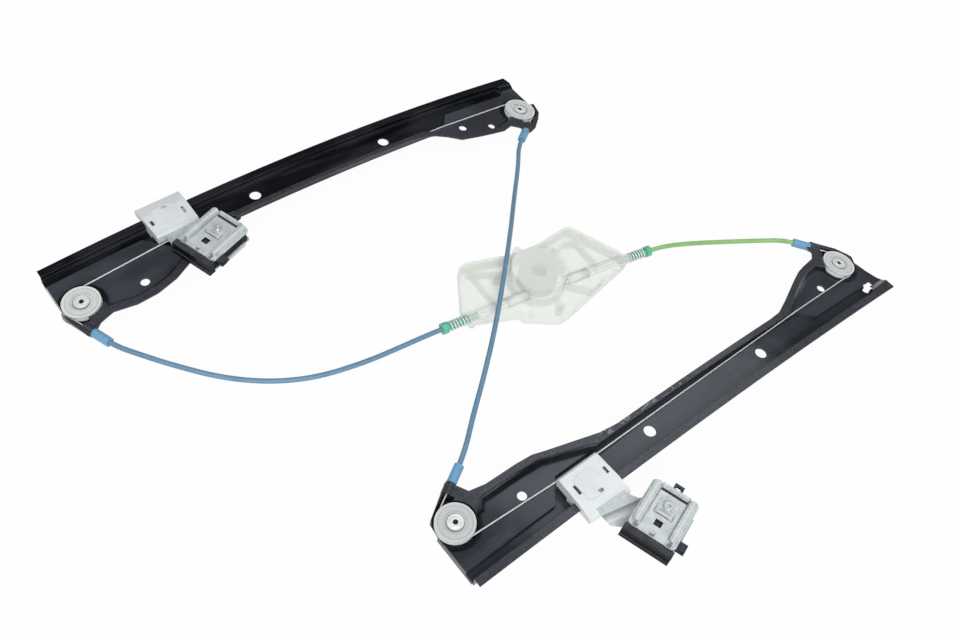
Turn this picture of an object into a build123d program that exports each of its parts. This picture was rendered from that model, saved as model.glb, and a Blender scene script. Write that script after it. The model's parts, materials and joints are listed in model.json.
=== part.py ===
from build123d import *
import os
from math import asin, atan2, cos, degrees, pi, radians, sin, tan

# A cable-driven twin-rail window regulator, laid flat with the glass clamps up.
# Millimetres. X runs along both rails from their low ends to their top ends, Y across, Z up.
# Stations on a rail are given as x from its middle and "out" from the line through its two
# pulleys towards its lip; "drop" is the depth below the arched surface through the pulley tops.

os.makedirs("parts", exist_ok=True)

# Driving dimensions: the rails
arch_radius = 2562.0  # of the surface through the pulley tops, as curved as the door glass
pulley_span = 541.3  # between the two pulley centres of a rail
left_rail_x, left_rail_y = -80.65, 222.74
rail_shift_x, rail_shift_y = 149.8, -375.1  # from the left rail to the right rail
pulley_top_z = 15.6
sheet = 1.5
lip_out = 56.0  # outer edge of the lip
rail_low = -288.0
channel_outer, channel_inner = 48.0, 17.4  # side walls of the hat channel
channel_drop = 9.5
plateau_drop = 5.5  # level of the flared ends that carry the pulleys
recess_drop, recess_r = 7.0, 20.0  # dished seat under a pulley
wall_draft = 48.0  # degrees from upright, flared end walls
mounting_hole_r, locating_hole_r = 6.0, 4.5
mounting_stations = (-67.0, 95.0)
mounting_out = 33.0

# Driving dimensions: pulleys and cable
pulley_r, pulley_thick = 18.0, 6.0
groove_r = 17.0  # cable centreline round a pulley
groove_drop = 3.0
cable_r, cable_sides = 0.75, 6  # six strands round a core
axle_r = 4.0
running_gap = 0.05
anchor_x, anchor_out, anchor_drop = -157.0, 23.0, 4.0  # where a slider holds the cable

# Driving dimensions: conduit ends
conduit_r = 2.5
conduit_sides = 12  # a cord stays plain: twelve flats, with the area of the round section
socket_start, socket_end, socket_r = 21.0, 32.0, 5.2  # along the tangent from the pulley
ferrule_length, ferrule_r, spigot_r = 19.0, 4.6, 3.1
cable_bore_r = 1.2

# Driving dimensions: carriers
carrier_places = {"left": -157.5, "right": -155.0}  # middles of the sliders at rest, near the low end
slider_length, slider_top = 45.0, 6.0
clamp_places = {"left": (-138.0, -11.0), "right": (-131.0, 104.3)}
clamp_turn = 18.0  # degrees, the glass edge is not square to the rails
jaw_length, jaw_width = 52.0, 45.0
bracket_low, bracket_high = 1.6, 3.6
liner_lip, glass_gap = 2.5, 6.0
jaw_low = bracket_high + 2 * liner_lip + glass_gap
jaw_high = jaw_low + 2.0
bolt_along = 6.8  # clamp bolt, along the clamp from its middle
bolt_r = 3.0

# Driving dimensions: cable drum and its housing
housing_x, housing_y = left_rail_x + 120.0, left_rail_y - 206.0
housing_turn = -9.13
wall = 2.2
cover_z, dome_r, dome_z = 15.0, 31.0, 25.0
drum_r, drum_groove_r, post_r = 21.0, 17.5, 8.0
motor_bolt_circle_r, motor_hole_r = 42.0, 2.5
cable_z = 14.5
line_turns = {"left": 181.7, "right": -0.5}  # degrees from the housing's own x
exit_reach = {"left": 96.0, "right": 102.5}  # along a cable line from the drum
spring_length, cap_length = 23.0, 6.0
spring_turns, spring_root_r, spring_crest_r = 6, 4.1, 5.5

arch_z = pulley_top_z - arch_radius * cos(asin(pulley_span / 2 / arch_radius))
right_rail_x, right_rail_y = left_rail_x + rail_shift_x, left_rail_y + rail_shift_y
pulley_x = pulley_span / 2

low = (Align.CENTER, Align.CENTER, Align.MIN)

# Each rail: middle x, y of its pulley line, and the side on which its lip lies
rails = {"left": (left_rail_x, left_rail_y, 1), "right": (right_rail_x, right_rail_y, -1)}

# Each conduit end: x of its pulley and the angle of the conduit, from x towards out
conduit_ends = {
    ("left", "lower"): (-pulley_x, -70.5),
    ("left", "upper"): (pulley_x, -147.0),
    ("right", "lower"): (-pulley_x, -30.0),
    ("right", "upper"): (pulley_x, -132.0),
}

# Plan outlines, x and out: the edge of each rail, then the walled pocket of each flared end
channel_plan = [
    (-300, channel_outer), (-300, 38.5), (-190, 38.5), (-172, channel_inner), (168, channel_inner),
    (184, 35), (270, 35), (276, 41), (272, channel_outer),
]
rail_plans = {
    "left": [
        (-291, -2), (-289, -14), (-282, -38), (-271, -35), (-266, -31), (-252, -27), (-230, -32),
        (-209, -31.5), (-187, -26), (-169, -17), (-140, -5), (-100, 10.5), (-80, 12), (120, 12),
        (136, 9.5), (147, 6), (159, -2), (171, -13), (195, -18), (211, -20.5), (227, -22.5),
        (240, -19), (247, -25), (255, -38), (266, -34), (280, -23), (289, -14), (293.5, 0),
        (293.5, 19), (294, 40), (291, lip_out),
    ],
    "right": [
        (-287.5, -2), (-286, -14), (-256, -34), (-249.5, -26), (-244, -15.5), (-228, -12), (-195, -11),
        (-178, -9.5), (-164, -5), (-136, 3), (-113, 9.5), (-93, 12), (130, 12), (146, 11), (165, 4),
        (199, -10), (214, -15.5), (227, -18), (246, -20.5), (253, -26), (257, -39), (266.5, -39),
        (276, -28), (286, -17), (293, -3), (296.5, 11), (298, 22), (302.5, 40), (302, lip_out),
    ],
}
pocket_plans = {
    ("left", "lower"): [
        (-310, 0), (-258, 0), (-255, -19), (-230, -24.5), (-209, -24), (-190, -19.5), (-172, -10.5),
        (-140, 3), (-118, 14), (-108, 24), (-108, 47), (-310, 47),
    ],
    ("left", "upper"): [
        (112, 47), (112, 24), (138, 16), (152, 10), (164, 2), (176, -7), (197, -11.5), (213, -14),
        (226, -15.5), (240, -12), (252, -8), (262, 0), (310, 0), (310, 47),
    ],
    ("right", "lower"): [
        (-310, 0), (-246, 0), (-240, -6), (-228, -5.5), (-195, -4.5), (-176, -3), (-160, 2),
        (-134, 10), (-118, 16), (-108, 24), (-108, 47), (-310, 47),
    ],
    ("right", "upper"): [
        (122, 47), (122, 24), (150, 17), (168, 9.5), (201, -4), (216, -9.5), (228, -12), (243, -14),
        (250, -8), (262, 0), (310, 0), (310, 47),
    ],
}
arm_plans = {
    "left": [(-172, 51), (-138, 51), (-138, 19), (-122, 15), (-164, 0), (-172, 10)],
    "right": [(-169, 31), (-137, 31), (-136, 69), (-131, 78), (-120, 84), (-157, 92.5), (-168, 82)],
}
locating_holes = {"left": [(-212, -9), (189, 7)], "right": [(-208, 14), (224, 12)]}


def station(rail, x, out=0.0, drop=0.0):
    """A plane square to the arch, x along the rail and z out of it."""
    rail_x, rail_y, side = rails[rail]
    turn = asin(x / arch_radius)
    radius = arch_radius - drop
    origin = (rail_x + radius * sin(turn), rail_y + side * out, arch_z + radius * cos(turn))
    return Plane(origin=origin, x_dir=(cos(turn), 0, -sin(turn)), z_dir=(sin(turn), 0, cos(turn)))


def arch_height(x, drop):
    """Height of the arched surface at a distance x from the middle of a rail."""
    radius = arch_radius - drop
    return arch_z + (radius**2 - x**2) ** 0.5


def arch_band(rail, top, bottom, x_low, x_high, out_low, out_high):
    """A slab that follows the arch between two drops."""
    rail_x, rail_y, side = rails[rail]
    middle = (x_low + x_high) / 2
    with BuildPart() as band:
        with BuildSketch(Plane.XZ.offset(-(rail_y + side * out_low))):
            with BuildLine():
                upper = ThreePointArc(*[(rail_x + x, arch_height(x, top)) for x in (x_low, middle, x_high)])
                lower = ThreePointArc(*[(rail_x + x, arch_height(x, bottom)) for x in (x_low, middle, x_high)])
                Line(upper @ 0, lower @ 0)
                Line(upper @ 1, lower @ 1)
            make_face()
        extrude(amount=-side * (out_high - out_low))
    return band.part


def plan_prism(rail, points, low, high, grow=0.0):
    """An upright prism over a plan outline of a rail."""
    rail_x, rail_y, side = rails[rail]
    with BuildPart() as prism:
        with BuildSketch(Plane.XY.offset(low)):
            with BuildLine():
                Polyline(*[(rail_x + x, rail_y + side * out) for x, out in points], close=True)
            make_face()
            if grow:
                offset(amount=grow, kind=Kind.INTERSECTION)
        extrude(amount=high - low)
    return prism.part


def walled_prism(rail, x, points, depth, grow=0.0):
    """A prism with drafted walls that narrows downwards from the tangent plane at x."""
    side = rails[rail][2]
    level = station(rail, x)
    downward = Plane(origin=level.origin, x_dir=level.x_dir, z_dir=-level.z_dir)
    with BuildPart() as prism:
        with BuildSketch(downward):
            with BuildLine():
                Polyline(*[(at - x, -side * out) for at, out in points], close=True)
            make_face()
            if grow:
                offset(amount=grow, kind=Kind.INTERSECTION)
        extrude(amount=depth, taper=wall_draft)
    return prism.part


def tangent_frame(rail, end):
    """Where the cable leaves a pulley for its conduit: plane, point and direction in that plane."""
    side = rails[rail][2]
    x, angle = conduit_ends[(rail, end)]
    sign = 1 if x < 0 else -1
    turn = radians(angle)
    along = Vector(cos(turn), side * sin(turn), 0)
    touch = Vector(sign * groove_r * sin(turn), -sign * side * groove_r * cos(turn), 0)
    return station(rail, x, 0, groove_drop), touch, along


def conduit_point(rail, end, reach):
    """World point on the conduit line of a pulley, at a distance from the tangent point."""
    level, touch, along = tangent_frame(rail, end)
    return level.from_local_coords(touch + along * reach)


def conduit_plane(rail, end, reach):
    """A plane square to the conduit line of a pulley, its z away from the pulley."""
    start = conduit_point(rail, end, reach)
    return Plane(origin=start, z_dir=conduit_point(rail, end, reach + 1) - start)


def recess_prism(rail, end, low, high, grow=0.0):
    """The seat of a pulley with the lane of its cable, between two drops."""
    level, touch, along = tangent_frame(rail, end)
    outward = touch.normalized()
    corners = [
        touch + outward * 2.5, touch + outward * 2.5 + along * socket_start,
        touch - outward * 8 + along * socket_start, touch - outward * 8,
    ]
    with BuildPart() as prism:
        with BuildSketch(level.offset(groove_drop - low)):
            with BuildLine():
                Polyline(*[(corner.X, corner.Y) for corner in corners], close=True)
            make_face()
            Circle(recess_r)
            if grow:
                offset(amount=grow)
        extrude(amount=low - high)
    return prism.part


def pressed_rail(rail):
    """One rail pressed from sheet: lip, hat channel, flared ends, pulley seats and holes."""
    plan = [(rail_low, lip_out), (rail_low, 0)] + rail_plans[rail]
    ends = {"lower": -200.0, "upper": 212.0}
    span = (-320, 320, -60, 70)
    with BuildPart() as body:
        add(arch_band(rail, 0, sheet, *span))
        add(plan_prism(rail, channel_plan, -30, 60, sheet) & arch_band(rail, 0.2, channel_drop + sheet, *span))
        for end, x in ends.items():
            prism = walled_prism(rail, x, pocket_plans[(rail, end)], 9.5, 2.2)
            add(prism & arch_band(rail, 0.2, plateau_drop + sheet, *span))
            add(recess_prism(rail, end, 0.2, recess_drop + sheet, sheet))
        add(plan_prism(rail, plan, -30, 60), mode=Mode.INTERSECT)
        flange = [(rail_low, 0), (rail_low, 47), (rail_low + sheet, 47), (rail_low + sheet, 0)]
        add(plan_prism(rail, flange, 0, 8))
        for end in ends:
            with Locations(conduit_plane(rail, end, socket_start)):
                Cylinder(socket_r, socket_end - socket_start, align=(Align.CENTER, Align.CENTER, Align.MIN))
        add(plan_prism(rail, channel_plan, -30, 60) & arch_band(rail, -5, channel_drop, *span), mode=Mode.SUBTRACT)
        for end, x in ends.items():
            prism = walled_prism(rail, x, pocket_plans[(rail, end)], 8.0)
            add(prism & arch_band(rail, -5, plateau_drop, *span), mode=Mode.SUBTRACT)
            add(recess_prism(rail, end, -5, recess_drop), mode=Mode.SUBTRACT)
            with Locations(conduit_plane(rail, end, socket_start - 2)):
                Cylinder(spigot_r + 0.1, 20, align=(Align.CENTER, Align.CENTER, Align.MIN), mode=Mode.SUBTRACT)
            with Locations(conduit_plane(rail, end, socket_end)):
                Cylinder(ferrule_r + 0.3, 30, align=(Align.CENTER, Align.CENTER, Align.MIN), mode=Mode.SUBTRACT)
            with Locations(station(rail, conduit_ends[(rail, end)][0])):
                Cylinder(axle_r + 0.1, 40, mode=Mode.SUBTRACT)
        for x in mounting_stations:
            with Locations(Plane(origin=(rails[rail][0] + x, station(rail, x, mounting_out).origin.Y, 20))):
                Cylinder(mounting_hole_r, 60, mode=Mode.SUBTRACT)
        for x, out in locating_holes[rail]:
            with Locations(station(rail, x, out)):
                Cylinder(locating_hole_r, 40, mode=Mode.SUBTRACT)
        if rail == "right":
            with Locations(station(rail, 278, 39)):
                Cylinder(5, 40, mode=Mode.SUBTRACT)
            with Locations(station(rail, 284, 37)):
                Box(8, 5, 40, mode=Mode.SUBTRACT)
        else:
            with Locations(station(rail, 223, -5)):
                Cylinder(4, 40, mode=Mode.SUBTRACT)
    return body.part


for rail in rails:
    pressed = pressed_rail(rail)
    pressed.label = f"{rail}_rail"
    export_step(pressed, f"parts/{rail}_rail.step")


def pulley_parts(rail, end):
    """A grooved pulley and the hollow rivet it turns on."""
    level = station(rail, conduit_ends[(rail, end)][0])
    name = f"{rail}_{end}"
    half = pulley_thick / 2
    with BuildPart() as pulley:
        with BuildSketch(Plane(origin=level.origin, x_dir=level.x_dir, z_dir=-level.y_dir)):
            with BuildLine():
                Polyline(
                    (axle_r + running_gap, -0.8), (9.4, -0.8), (9.4, 0), (pulley_r, 0),
                    (pulley_r, -half + 1.5), (15.9, -half + 0.7), (15.9, -half - 0.7), (pulley_r, -half - 1.5),
                    (pulley_r, -pulley_thick), (8.5, -pulley_thick), (8.5, -recess_drop + 0.1),
                    (axle_r + running_gap, -recess_drop + 0.1), close=True,
                )
            make_face()
        revolve(axis=Axis(level.origin, level.z_dir))
    pulley.part.label = f"{name}_pulley"
    export_step(pulley.part, f"parts/{name}_pulley.step")
    with BuildPart() as axle:
        with BuildSketch(Plane(origin=level.origin, x_dir=level.x_dir, z_dir=-level.y_dir)):
            with BuildLine():
                Polyline(
                    (0, -0.6), (2.6, 0.5), (4.6, 0.5), (5.4, 0.1), (8, 0.1), (8.4, -0.7), (axle_r, -0.7),
                    (axle_r, -recess_drop - sheet - 0.1), (6.5, -recess_drop - sheet - 0.1),
                    (6.5, -recess_drop - sheet - 1.1), (0, -recess_drop - sheet - 1.1), close=True,
                )
            make_face()
        revolve(axis=Axis(level.origin, level.z_dir))
    axle.part.label = f"{name}_pulley_axle"
    export_step(axle.part, f"parts/{name}_pulley_axle.step")
    with BuildPart(conduit_plane(rail, end, socket_start + 3)) as ferrule:
        body_start = socket_end - socket_start - 3
        Cylinder(spigot_r, body_start + 1, align=low)
        with Locations((0, 0, body_start + 0.1)):
            Cylinder(ferrule_r, ferrule_length - 0.1, align=low)
        Cylinder(cable_bore_r, body_start + ferrule_length, align=low, mode=Mode.SUBTRACT)
        with Locations((0, 0, body_start + 12)):
            Cylinder(conduit_r + 0.1, ferrule_length, align=low, mode=Mode.SUBTRACT)
    ferrule.part.label = f"{name}_ferrule"
    export_step(ferrule.part, f"parts/{name}_ferrule.step")


def rail_cable(rail):
    """The steel cable of one rail: round both pulleys and along the rail through the slider."""
    side = rails[rail][2]
    reach = socket_end + 11
    with BuildPart() as cable:
        for end in ("lower", "upper"):
            level, touch, along = tangent_frame(rail, end)
            start = touch + along * reach
            first = touch.normalized()
            last = Vector(0, side, 0)
            away = Vector(-1 if end == "lower" else 1, 0, 0)
            middle = (first + last).normalized()
            if middle.dot(away) < 0:
                middle = -middle
            with BuildLine(level):
                Line((start.X, start.Y), (touch.X, touch.Y))
                ThreePointArc(
                    (touch.X, touch.Y), (middle.X * groove_r, middle.Y * groove_r), (0, side * groove_r)
                )
            with BuildSketch(conduit_plane(rail, end, reach)):
                RegularPolygon(cable_r, cable_sides)
            sweep()
        crown = arch_radius - channel_drop + cable_r
        points = []
        for x, out, drop in (
            (-pulley_x + 0.1, groove_r, groove_drop), (anchor_x, anchor_out, anchor_drop),
            (-1.3, None, channel_drop - cable_r), (23.4, None, channel_drop - cable_r),
            (169.0, None, plateau_drop - 0.9), (pulley_x - 0.1, groove_r, groove_drop),
        ):
            if out is None:
                share = (x - anchor_x) / (pulley_x - anchor_x)
                out = anchor_out + share * (groove_r - anchor_out)
            points.append(station(rail, x, out, drop).origin)
        for start, stop in zip(points, points[1:]):
            ahead = (stop - start).normalized()
            with BuildSketch(Plane(origin=start + ahead * 0.02, z_dir=ahead)):
                RegularPolygon(cable_r, cable_sides)
            extrude(amount=(stop - start).length - 0.04)
    cable.part.label = f"{rail}_cable"
    export_step(cable.part, f"parts/{rail}_cable.step")


def arm_prism(rail, grow=0.0):
    """The flat arm of a bracket, in the plane of its clamp."""
    side = rails[rail][2]
    x, out = clamp_places[rail]
    with BuildPart() as arm:
        with BuildSketch(station(rail, x, out).offset(bracket_low - grow)):
            with BuildLine():
                Polyline(*[(at - x, side * (reach - out)) for at, reach in arm_plans[rail]], close=True)
            make_face()
            if grow:
                offset(amount=grow, kind=Kind.INTERSECTION)
        extrude(amount=bracket_high - bracket_low + 2 * grow)
    return arm.part


def slider_part(rail):
    """The white slider that hooks round the lip and rides in the channel."""
    side = rails[rail][2]
    level = station(rail, carrier_places[rail])
    section = [
        (23.2, 1.2), (23.2, -4), (25.4, -slider_top), (53, -slider_top), (67.5, -3.2), (69.5, -1.5), (69.5, 4),
        (50.4, 4), (50.4, 2.1), (56.6, 2.1), (56.6, -0.6), (47.4, -0.6), (47.4, 9), (39.2, 9), (39.2, 4.9),
        (24.3, 4.9), (24.3, 1.2),
    ]
    hand = 1 if rail == "left" else -1
    half = slider_length / 2
    plan = [(-half, 21), (half, 21), (half + 1.5, 71), (-half - 1.5, 71)]
    pad = level.offset(slider_top)
    with BuildPart() as slider:
        with BuildSketch(Plane(origin=level.origin, x_dir=(0, 1, 0), z_dir=level.x_dir)):
            with BuildLine():
                Polyline(*[(side * out, -drop) for out, drop in section], close=True)
            make_face()
        extrude(amount=slider_length, both=True)
        with BuildSketch(level.offset(-12)):
            with BuildLine():
                Polyline(*[(along, side * out) for along, out in plan], close=True)
            make_face()
            fillet(vertices(), 2.5)
        extrude(amount=30, mode=Mode.INTERSECT)
        with BuildSketch(pad):
            with Locations((-2, side * 44)):
                RectangleRounded(24, 25, 6)
        extrude(amount=0.9)
        with BuildSketch(pad):
            with Locations((-18 * hand, side * 42)):
                Rectangle(3.2, 7)
            with Locations((15.5 * hand, side * 41.5)):
                Rectangle(3, 9.5)
            with Locations((1, side * 54)):
                Rectangle(5, 3.4)
        extrude(amount=2.5, both=True, mode=Mode.SUBTRACT)
        add(arm_prism(rail, 0.1), mode=Mode.SUBTRACT)
    slider.part.label = f"{rail}_slider"
    export_step(slider.part, f"parts/{rail}_slider.step")


def clamp_frame(rail):
    """The clamp's own plane: x along the glass edge direction of entry, z out of the rail."""
    return station(rail, *clamp_places[rail]).rotated((0, 0, clamp_turn))


def bracket_part(rail):
    """The steel bracket: an arm from the slider that ends in the lower jaw."""
    jaw = clamp_frame(rail).offset(bracket_low)
    with BuildPart() as bracket:
        add(arm_prism(rail))
        with BuildSketch(jaw):
            with Locations((1, 0)):
                RectangleRounded(jaw_length - 2, jaw_width, 3)
        extrude(amount=bracket_high - bracket_low)
        with BuildSketch(jaw):
            with Locations((0, -jaw_width / 2 - 0.9)):
                Rectangle(34, 1.8)
        extrude(amount=4)
        with Locations(jaw):
            with Locations((bolt_along, 0, 0)):
                Cylinder(bolt_r + 0.3, 20, mode=Mode.SUBTRACT)
    bracket.part.label = f"{rail}_bracket"
    export_step(bracket.part, f"parts/{rail}_bracket.step")


def clamp_parts(rail):
    """Upper jaw, rubber liner, bolt and nut of one glass clamp."""
    frame = clamp_frame(rail)
    boss_top = jaw_high + 2.0
    with BuildPart() as jaw:
        with BuildSketch(frame.offset(jaw_low)):
            with Locations((0.9, 0)):
                RectangleRounded(jaw_length - 1.8, jaw_width, 4)
            with Locations((-10, 0)):
                RectangleRounded(4.4, 6.4, 1, mode=Mode.SUBTRACT)
            with Locations((21, 0)):
                Rectangle(2.6, 25, mode=Mode.SUBTRACT)
        extrude(amount=jaw_high - jaw_low)
        with BuildSketch(frame.offset(jaw_high)):
            with Locations((7, 0)):
                Rectangle(24, 25)
        extrude(amount=0.7)
        with BuildSketch(frame.offset(jaw_high)):
            with Locations((25, 0)):
                Rectangle(3, 27)
        extrude(amount=1.6)
        with BuildSketch(frame.offset(jaw_high)):
            with Locations((-20.5, 0), (-22.5, 16), (-22.5, -16)):
                Rectangle(3.4, 4)
        extrude(amount=-1.1, mode=Mode.SUBTRACT)
        with BuildSketch(frame.offset(jaw_high)):
            with Locations((2.5, 17.2), (2.5, -17.2)):
                RectangleRounded(46, 8, 3.5)
        extrude(amount=4, taper=12)
        with BuildSketch(frame.offset(jaw_high)):
            with Locations((bolt_along - 0.8, 0)):
                RectangleRounded(17, 17, 4)
        extrude(amount=2, taper=12)
        with BuildSketch(frame.offset(jaw_high)):
            with Locations((bolt_along, 0)):
                Circle(bolt_r + 0.3)
        extrude(amount=10, both=True, mode=Mode.SUBTRACT)
    jaw.part.label = f"{rail}_clamp_jaw"
    export_step(jaw.part, f"parts/{rail}_clamp_jaw.step")
    back = -jaw_length / 2 + 1.5
    with BuildPart() as liner:
        for low in (bracket_high, jaw_low - liner_lip):
            with BuildSketch(frame.offset(low)):
                with Locations(((back + 24) / 2, 0)):
                    RectangleRounded(24 - back, jaw_width - 1, 3)
            extrude(amount=liner_lip)
        with Locations(frame):
            with Locations((back - 3.2, 0, (bracket_high + jaw_low) / 2)):
                Box(6.4, jaw_width + 2, 13.6)
            with Locations((back - 6.9, 0, 4.6)):
                Box(1.4, jaw_width + 2, 4.6)
            with Locations((back + 0.5, 0, (bracket_high + jaw_low) / 2)):
                Box(1.0, jaw_width - 1, jaw_low - bracket_high)
            with Locations((-16.5, -jaw_width / 2 - 3.4, jaw_low - liner_lip / 2)):
                Box(10, 8.6, liner_lip)
            with Locations((-17.5, -jaw_width / 2 - 5.2, jaw_low - liner_lip / 2)):
                Box(6, 5, 5)
            with Locations((29, 0, jaw_low - liner_lip / 2)):
                Box(10.4, 9, liner_lip)
                Box(5, 4.6, 3 * liner_lip, mode=Mode.SUBTRACT)
            with Locations((bolt_along, 0, (bracket_high + jaw_low) / 2)):
                Box(13, 13, 12, mode=Mode.SUBTRACT)
    liner.part.label = f"{rail}_clamp_liner"
    export_step(liner.part, f"parts/{rail}_clamp_liner.step")
    with BuildPart() as bolt:
        with Locations(frame):
            with Locations((bolt_along, 0, 1.9)):
                Cylinder(bolt_r, boss_top - 1.9, align=(Align.CENTER, Align.CENTER, Align.MIN))
            with Locations((bolt_along, 0, boss_top)):
                Cylinder(4.3, 3.4, align=(Align.CENTER, Align.CENTER, Align.MIN))
        chamfer(bolt.edges().filter_by(GeomType.CIRCLE).sort_by(Axis.Z)[-1], 0.5)
        with BuildSketch(frame.offset(boss_top + 3.4)):
            with Locations((bolt_along, 0)):
                RegularPolygon(2.4, 6)
        extrude(amount=-2, mode=Mode.SUBTRACT)
    bolt.part.label = f"{rail}_clamp_bolt"
    export_step(bolt.part, f"parts/{rail}_clamp_bolt.step")
    with BuildPart() as nut:
        with BuildSketch(frame.offset(bracket_high)):
            with Locations((bolt_along, 0)):
                RectangleRounded(11, 11, 1.5)
                Circle(bolt_r + running_gap, mode=Mode.SUBTRACT)
        extrude(amount=4.5)
    nut.part.label = f"{rail}_clamp_nut"
    export_step(nut.part, f"parts/{rail}_clamp_nut.step")


for rail in rails:
    for end in ("lower", "upper"):
        pulley_parts(rail, end)
    rail_cable(rail)
    slider_part(rail)
    bracket_part(rail)
    clamp_parts(rail)

# Cable drum and its housing, in the housing's own turned frame
housing_frame = Plane(
    origin=(housing_x, housing_y, 0), x_dir=(cos(radians(housing_turn)), sin(radians(housing_turn)), 0)
)
housing_outline = [
    (-71, 41), (-61, 43.5), (-16, 35.5), (20, 36), (62, 45.5), (69, 44), (99, -5), (103, -20), (7, -54),
    (-5, -56), (-38, -40), (-41, -33), (-84, -22), (-90, -25), (-96, -11),
]
rib_lines = [
    [(-66, 34), (-25, 18)], [(-61, 31), (-57, -14)], [(26, 16), (53, 30), (66, 26), (70, -14)],
    [(24, -19), (45, -37), (66, -29)], [(-18, -24), (-29, -36)], [(8, -29), (-3, -46)],
]
rib_thick = 1.6


def cable_line(line_side, reach):
    """A plane on a conduit line of the housing, its z away from the drum."""
    turn = radians(line_turns[line_side])
    along = Vector(cos(turn), sin(turn), 0)
    square = Vector(sin(turn), -cos(turn), 0) * (-1 if line_side == "left" else 1)
    point = square * (drum_groove_r + 0.2) + along * reach + Vector(0, 0, cable_z)
    start = housing_frame.from_local_coords(point)
    ahead = housing_frame.from_local_coords(point + along)
    return Plane(origin=start, z_dir=ahead - start)


bosses = [(motor_bolt_circle_r * cos(radians(a)), motor_bolt_circle_r * sin(radians(a))) for a in (34, 154, 274)]
with BuildPart() as housing:
    with BuildSketch(housing_frame):
        with BuildLine():
            Polyline(*housing_outline, close=True)
        make_face()
        fillet(vertices(), 2.5)
    extrude(amount=cover_z)
    with Locations(housing_frame):
        with Locations((0, 0, cover_z)):
            Cone(dome_r, dome_r - 2, dome_z - cover_z, align=low)
    for line_side in line_turns:
        with Locations(cable_line(line_side, 50)):
            Cylinder(5.5, exit_reach[line_side] - 50, align=low)
    with BuildSketch(housing_frame):
        with BuildLine():
            Polyline(*housing_outline, close=True)
        make_face()
        fillet(vertices(), 2.5)
        offset(amount=-wall, kind=Kind.INTERSECTION)
    extrude(amount=cover_z - wall, mode=Mode.SUBTRACT)
    with Locations(housing_frame):
        with Locations((0, 0, 4)):
            Cone(dome_r - wall, dome_r - 2 - wall, dome_z - wall - 4, align=low, mode=Mode.SUBTRACT)
        with Locations((0, 0, cover_z - wall - 0.5)):
            Cylinder(post_r, dome_z - cover_z + 1.5, align=low)
        for corners in rib_lines:
            for start, stop in zip(corners, corners[1:]):
                run = Vector(*stop) - Vector(*start)
                middle = Vector(*start) + run / 2
                with Locations(Location((middle.X, middle.Y, 1), (0, 0, degrees(atan2(run.Y, run.X))))):
                    Box(run.length, rib_thick, cover_z - 2, align=low)
        with Locations((0, 0, 1)):
            Cylinder(dome_r, cover_z - 2, align=low)
            Cylinder(dome_r - rib_thick, cover_z - 2, align=low, mode=Mode.SUBTRACT)
        with Locations((-7, dome_r + 1, 1)):
            Cylinder(4.5, dome_z - 3, align=low)
        for place in bosses:
            with Locations((*place, 0)):
                Cylinder(5, cover_z - 1, align=low)
                Cylinder(motor_hole_r, 2 * (cover_z - wall - 1), mode=Mode.SUBTRACT)
    for line_side in line_turns:
        with Locations(cable_line(line_side, 15)):
            Cylinder(3.6, 100, align=low, mode=Mode.SUBTRACT)
housing.part.label = "drum_housing"
export_step(housing.part, "parts/drum_housing.step")

with BuildPart(housing_frame) as drum:
    with Locations((0, 0, 4)):
        Cylinder(drum_r, 15, align=low)
    with BuildSketch(Plane(origin=housing_frame.origin, x_dir=housing_frame.x_dir, z_dir=-housing_frame.y_dir)):
        with Locations(((drum_groove_r - 1 + drum_r) / 2 + 1, 11.5)):
            Rectangle(drum_r - drum_groove_r + 3, 10.4)
    revolve(axis=Axis(housing_frame.origin, (0, 0, 1)), mode=Mode.SUBTRACT)
    Cylinder(post_r + running_gap, 60, mode=Mode.SUBTRACT)
drum.part.label = "cable_drum"
export_step(drum.part, "parts/cable_drum.step")

with BuildPart() as windings:
    with BuildSketch(Plane(origin=housing_frame.origin, x_dir=housing_frame.x_dir, z_dir=-housing_frame.y_dir)):
        with Locations((drum_groove_r - 0.2, 11.5)):
            Rectangle(2 * cable_r, 8)
    revolve(axis=Axis(housing_frame.origin, (0, 0, 1)))
windings.part.label = "cable_windings"
export_step(windings.part, "parts/cable_windings.step")

with BuildPart() as leads:
    for line_side in line_turns:
        with BuildSketch(cable_line(line_side, 9)):
            RegularPolygon(cable_r, cable_sides)
        extrude(amount=exit_reach[line_side] + spring_length - 13)
leads.part.label = "drum_cables"
export_step(leads.part, "parts/drum_cables.step")

for line_side in line_turns:
    with BuildPart(cable_line(line_side, exit_reach[line_side] - 12)) as cap:
        stem = spring_length + 12
        Cylinder(3.4, stem, align=low)
        with Locations((0, 0, stem)):
            Cylinder(5.8, cap_length, align=low)
        Cylinder(cable_bore_r, stem, align=low, mode=Mode.SUBTRACT)
        with Locations((0, 0, stem - 3)):
            Cylinder(conduit_r + 0.1, 20, align=low, mode=Mode.SUBTRACT)
    cap.part.label = f"{line_side}_spring_cap"
    export_step(cap.part, f"parts/{line_side}_spring_cap.step")
    foot = cable_line(line_side, exit_reach[line_side] + 0.8)
    pitch = (spring_length - 1.4) / spring_turns
    crests = []
    for turn in range(spring_turns):
        crests += [(spring_root_r, turn * pitch), (spring_crest_r, (turn + 0.5) * pitch)]
    with BuildPart() as spring:
        with BuildSketch(Plane(origin=foot.origin, x_dir=foot.x_dir, z_dir=-foot.y_dir)):
            with BuildLine():
                Polyline(
                    (3.6, 0), *crests, (spring_root_r, spring_turns * pitch), (3.6, spring_turns * pitch),
                    close=True,
                )
            make_face()
        revolve(axis=Axis(foot.origin, foot.z_dir))
    spring.part.label = f"{line_side}_conduit_spring"
    export_step(spring.part, f"parts/{line_side}_conduit_spring.step")


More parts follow.
